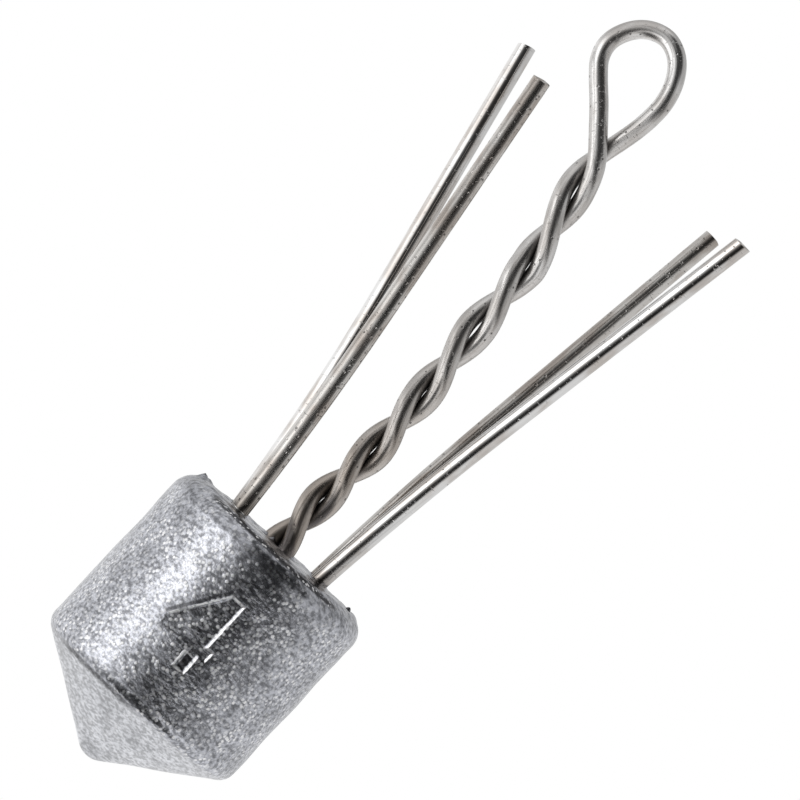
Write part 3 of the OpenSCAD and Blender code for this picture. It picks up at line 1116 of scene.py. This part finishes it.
# Each row of light: the lowest and highest degrees of height between which it takes over from the row
# above, and its levels by the degrees round the object, where 0 is in front and the right is positive.
ROWS = (
    (24.0, 34.0, {
        -180: 0.75, -120: 0.8, -100: 0.9, -82: 0.95, -60: 0.95, -41: 0.6, -29: 0.25, -17: 0.08, -5: 0.05, 9: 0.04,
        20: 0.08, 31: 0.25, 42: 0.58, 54: 0.85, 112: 0.85, 180: 0.75,
    }),
    (12.0, 15.0, {
        -180: 0.9, -112: 0.95, -93: 0.75, -77: 0.8, -62: 1.4, -47: 1.8, -38: 1.3, -26: 0.5, -13: 0.12, 0: 0.04,
        22: 0.04, 33: 0.3, 44: 0.75, 57: 0.85, 138: 0.85, 180: 0.8,
    }),
    (6.0, 9.0, {
        -180: 1.0, -120: 0.95, -93: 0.95, -84: 1.4, -77: 2.0, -62: 2.4, -47: 2.2, -36: 1.2, -24: 0.45, -13: 0.15,
        0: 0.06, 24: 0.04, 33: 0.15, 40: 0.5, 48: 0.85, 57: 0.95, 90: 0.95, 180: 1.0,
    }),
    (-1.0, 0.5, {
        -180: 1.1, -138: 1.4, -93: 1.4, -84: 1.8, -74: 1.6, -66: 2.6, -60: 3.7, -50: 4.1, -40: 2.0, -30: 0.8,
        -18: 0.3, -8: 0.08, 2: 0.03, 45: 0.03, 58: 0.12, 70: 0.45, 84: 0.85, 95: 1.0, 180: 1.0,
    }),
    (-6.0, -4.0, {
        -180: 1.0, -129: 1.3, -106: 1.2, -88: 0.9, -72: 0.8, -62: 1.4, -55: 2.6, -44: 2.6, -37: 1.4, -28: 0.65,
        -18: 0.28, -8: 0.08, 4: 0.03, 26: 0.03, 42: 0.06, 55: 0.14, 66: 0.4, 78: 0.8, 92: 1.0, 180: 1.0,
    }),
    (-16.0, -13.0, {
        -180: 0.9, -129: 1.3, -106: 0.9, -88: 0.7, -73: 0.64, -59: 0.72, -46: 0.75, -37: 0.58, -27: 0.38, -15: 0.2,
        -5: 0.12, 5: 0.03, 18: 0.02, 24: 0.08, 34: 0.46, 46: 0.95, 75: 1.05, 120: 1.05, 180: 0.9,
    }),
    (-40.0, -22.0, {
        -180: 0.9, -115: 1.4, -90: 2.0, -45: 2.0, -25: 0.8, -12: 0.15, 30: 0.12, 60: 0.6, 80: 0.85, 180: 0.9,
    }),
)
ABOVE = {-180: 0.6, -120: 0.9, -60: 1.2, -35: 0.9, -15: 0.3, 0: 0.12, 35: 0.1, 50: 0.35, 70: 0.65, 180: 0.6}
# The dark patches under and over the camera: the way to each, the cosines at its rim and inside it, its level.
DARK = (((0.0, -0.5, -0.866), 0.80, 0.92, 0.06), ((0.17, -0.55, 0.818), 0.82, 0.93, 0.04))


@dataclass(frozen=True)
class Studio:
    """The camera, the surrounding light and the pale floor, in metres."""

    camera_place: Triple = (0.00489, -0.65, -0.04298)
    lens: float = 296.95
    floor_z: float = -0.125
    floor_radius: float = 0.28

    def add_camera(self) -> None:
        """Add the camera at the photograph's angle, rolled so that the sinker lies across the frame."""
        data = bpy.data.cameras.new("camera")
        data.lens = self.lens
        data.sensor_width = 36.0
        data.clip_start, data.clip_end = 0.01, 10.0
        camera = bpy.data.objects.new("camera", data)
        bpy.context.scene.collection.objects.link(camera)
        x, y, z = self.camera_place
        camera.matrix_world = Matrix((
            (0.7314, -0.682, 0.0, x), (0.0, 0.0, -1.0, y), (0.682, 0.7314, 0.0, z), (0.0, 0.0, 0.0, 1.0)
        ))
        bpy.context.scene.camera = camera

    @staticmethod
    def ring(share: Value, levels: dict[int, float]) -> Value:
        """Light one row of soft panels.

        Args:
            share: how far round the object the light comes from, as a share of a whole turn from the back.
            levels: the row's levels by degrees, as in ROWS.

        Returns:
            The row's light.
        """
        brightest = max(levels.values())
        ramp = put(share.socket.id_data, "ShaderNodeValToRGB", {0: share})
        stops = ramp.node.color_ramp.elements
        while len(stops) > 1:
            stops.remove(stops[-1])
        for i, (degrees, level) in enumerate(sorted(levels.items())):
            stop = stops.new(degrees / 360.0 + 0.5) if i else stops[0]
            stop.position = degrees / 360.0 + 0.5
            stop.color = (level / brightest, level / brightest, level / brightest, 1.0)
        return ramp[0] * brightest

    def add_light(self) -> None:
        """Surround the object with soft panels of light, and show plain white to the camera."""
        world = bpy.data.worlds.new("soft_studio")
        bpy.context.scene.world = world
        world.use_nodes = True
        tree = world.node_tree
        tree.nodes.clear()
        way = put(tree, "ShaderNodeTexCoord")["Generated"]
        split = put(tree, "ShaderNodeSeparateXYZ", {0: way})
        share = calculate("ARCTAN2", split["X"], split["Y"] * -1.0) * (0.5 / pi) + 0.5
        up = calculate("ARCSINE", split["Z"]) * (180.0 / pi)
        light = self.ring(share, ABOVE)
        for low, high, levels in ROWS:
            light = lerp(between(up, high, low), light, self.ring(share, levels))
        light = lerp(between(up, -50.0, -60.0), light, 0.98)
        for toward, edge, inside, level in DARK:
            near = put(tree, "ShaderNodeVectorMath", {0: way, 1: toward}, operation="DOT_PRODUCT")["Value"]
            light = lerp(between(near, edge, inside), light, level)
        seen = put(tree, "ShaderNodeLightPath")["Is Camera Ray"]
        soft = put(tree, "ShaderNodeBackground", {"Strength": light})[0]
        white = put(tree, "ShaderNodeBackground", {"Color": (1.0, 1.0, 1.0), "Strength": 1.0})[0]
        put(tree, "ShaderNodeOutputWorld", {0: put(tree, "ShaderNodeMixShader", {0: seen, 1: soft, 2: white})[0]})

    def add_floor(self) -> None:
        """Add the pale floor, which runs out into white and looks darker in front to shiny surfaces."""
        shape = bmesh.new()
        bmesh.ops.create_circle(shape, cap_ends=True, segments=96, radius=self.floor_radius)
        mesh = bpy.data.meshes.new("floor")
        shape.to_mesh(mesh)
        shape.free()
        mesh.transform(Matrix.Translation((0.0, 0.0, self.floor_z)))
        floor = bpy.data.objects.new("floor", mesh)
        bpy.context.scene.collection.objects.link(floor)
        made = bpy.data.materials.new("pale_floor")
        made.use_nodes = True
        tree = made.node_tree
        tree.nodes.clear()
        found = put(tree, "ShaderNodeTexCoord")["Object"]
        flat = put(tree, "ShaderNodeVectorMath", {0: found, 1: (1.0, 1.0, 0.0)}, operation="MULTIPLY")[0]
        away = put(tree, "ShaderNodeVectorMath", {0: flat}, operation="LENGTH")["Value"]
        split = put(tree, "ShaderNodeSeparateXYZ", {0: found})
        x, y = split["X"], split["Y"]
        # To shiny surfaces the floor glows: a painted shadow in front of the object and a painted brighter patch to its
        # left.
        ahead = between(y, -0.012, -0.024) * between(y, -0.2, -0.15)
        shade = between(calculate("ABSOLUTE", x - 0.012), 0.055, 0.025) * ahead
        left = between(x, -0.03, -0.08) * ahead
        rim = between(away, 0.35 * self.floor_radius, 0.98 * self.floor_radius, 0.45, 1.0)
        path = put(tree, "ShaderNodeLightPath")
        strength = lerp(path["Is Glossy Ray"], 1.0, left * 0.8 + (shade * -0.88 + 0.95))
        paper = put(tree, "ShaderNodeBsdfDiffuse", {"Color": (0.9, 0.9, 0.9)})[0]
        white = put(tree, "ShaderNodeEmission", {"Color": (1.0, 1.0, 1.0), "Strength": strength})[0]
        lit = calculate("MAXIMUM", rim * path["Is Camera Ray"], path["Is Glossy Ray"])
        put(tree, "ShaderNodeOutputMaterial", {0: put(tree, "ShaderNodeMixShader", {0: lit, 1: paper, 2: white})[0]})
        made.cycles.emission_sampling = "NONE"
        mesh.materials.append(made)


# ---- the whole

BRIGHT = WireFinish(
    "bright_steel_wire", Slot.BRIGHT_WIRE, clean=(0.78, 0.775, 0.77), filmed=(0.50, 0.45, 0.41),
    foot=(0.25, 0.225, 0.205), film_share=0.75, foot_length=5.0, roughness=0.04, rough_spread=0.05,
    pit_spacing=1.1, pit_size=0.12, pit_depth=0.03, streak_depth=0.003,
)
DULL = WireFinish(
    "dull_steel_wire", Slot.DULL_WIRE, clean=(0.66, 0.64, 0.615), filmed=(0.40, 0.355, 0.32),
    foot=(0.26, 0.235, 0.21), film_share=0.9, foot_length=6.0, roughness=0.09, rough_spread=0.12,
    pit_spacing=0.7, pit_size=0.18, pit_depth=0.05, streak_depth=0.008, nick_shade=0.55,
)
EYE = WireFinish(
    "eye_steel_wire", Slot.EYE_WIRE, clean=(0.74, 0.728, 0.718), filmed=(0.46, 0.43, 0.405),
    foot=(0.41, 0.366, 0.328), film_share=0.7, foot_length=44.0, roughness=0.18, rough_spread=0.12,
    pit_spacing=0.8, pit_size=0.15, pit_depth=0.035, streak_depth=0.012, nick_shade=0.2, foot_roughness=0.03,
)
CORE = WireFinish(
    "buried_wire", Slot.BRIGHT_WIRE, clean=(0.6, 0.59, 0.57), filmed=(0.4, 0.38, 0.35), foot=(0.36, 0.34, 0.31),
    film_share=0.6, foot_length=3.0, roughness=0.2, rough_spread=0.15, pit_spacing=1.0, pit_size=0.1,
    pit_depth=0.02, streak_depth=0.006, follows_wire=False,
)
LEGS = (
    Leg("bright_leg_left", 141.5, length=53.8, lean=8.7, curve=7.2, end=End.SQUARE, slot=Slot.BRIGHT_WIRE,
        swell=1.08, feet_shift=-0.25, slant=0.1),
    Leg("bright_leg_right", -38.5, length=52.1, lean=7.4, curve=4.4, end=End.SQUARE, slot=Slot.BRIGHT_WIRE,
        swell=1.08, feet_shift=-0.25, slant=0.16),
    Leg("dull_leg_left", 221.5, length=50.4, lean=6.55, curve=5.1, end=End.CHIPPED, slot=Slot.DULL_WIRE, swell=1.01),
    Leg("dull_leg_right", 41.5, length=51.2, lean=4.9, curve=4.5, end=End.ROUNDED, slot=Slot.DULL_WIRE, swell=1.01),
)


def main() -> None:
    """Build the classes in order and report each piece."""
    logging.basicConfig(level=logging.INFO, format="%(name)s: %(message)s")
    bpy.context.scene.view_settings.view_transform = "Standard"
    studio = Studio()
    studio.add_camera()
    studio.add_light()
    studio.add_floor()

    drops = drops_group()
    wear = wire_group(drops)
    lead = LeadFinish().material(drops)
    eye = EyeWire()
    eye_length = float(run_along(eye.line())[-1])
    finishes = {finish.slot: finish.material(wear) for finish in (BRIGHT, DULL, replace(EYE, far_foot=eye_length))}
    buried = CORE.material(wear)
    tree = sweep_tree()

    exits = [(*leg.exit()[:2], leg.creep) for leg in LEGS]
    for start in (-90.0, 90.0):
        exits.append((*eye.strand(start, np.array((eye.top_step,)))[0, :2], eye.creep))
    casting = Casting().build(exits)
    casting.data.materials.append(lead)
    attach(casting, "casting")
    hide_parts("lead_casting")
    log.info("casting: %d faces", len(casting.data.polygons))

    wire = eye.build(tree, finishes[Slot.EYE_WIRE])
    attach(wire, "casting")
    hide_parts("eye_wire")
    log.info("eye wire: %d faces, %.1f mm long", len(wire.data.polygons), eye_length)

    for leg in LEGS:
        made = leg.build(tree, finishes[leg.slot])
        along = leg.place(np.array((-leg.bend_half, leg.bend_half)))
        start, end = ((point + TOP_CENTRE) * MM for point in along)
        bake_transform(made)
        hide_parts(leg.name)
        log.info("%s: %d faces", made.name, len(made.data.polygons))

    for node in ("bright_wire_core", "dull_wire_core"):
        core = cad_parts[node]
        core.data.materials.clear()
        core.data.materials.append(buried)
        log.info("%s: carried over with a wire finish", node)


if __name__ == "__main__":
    main()
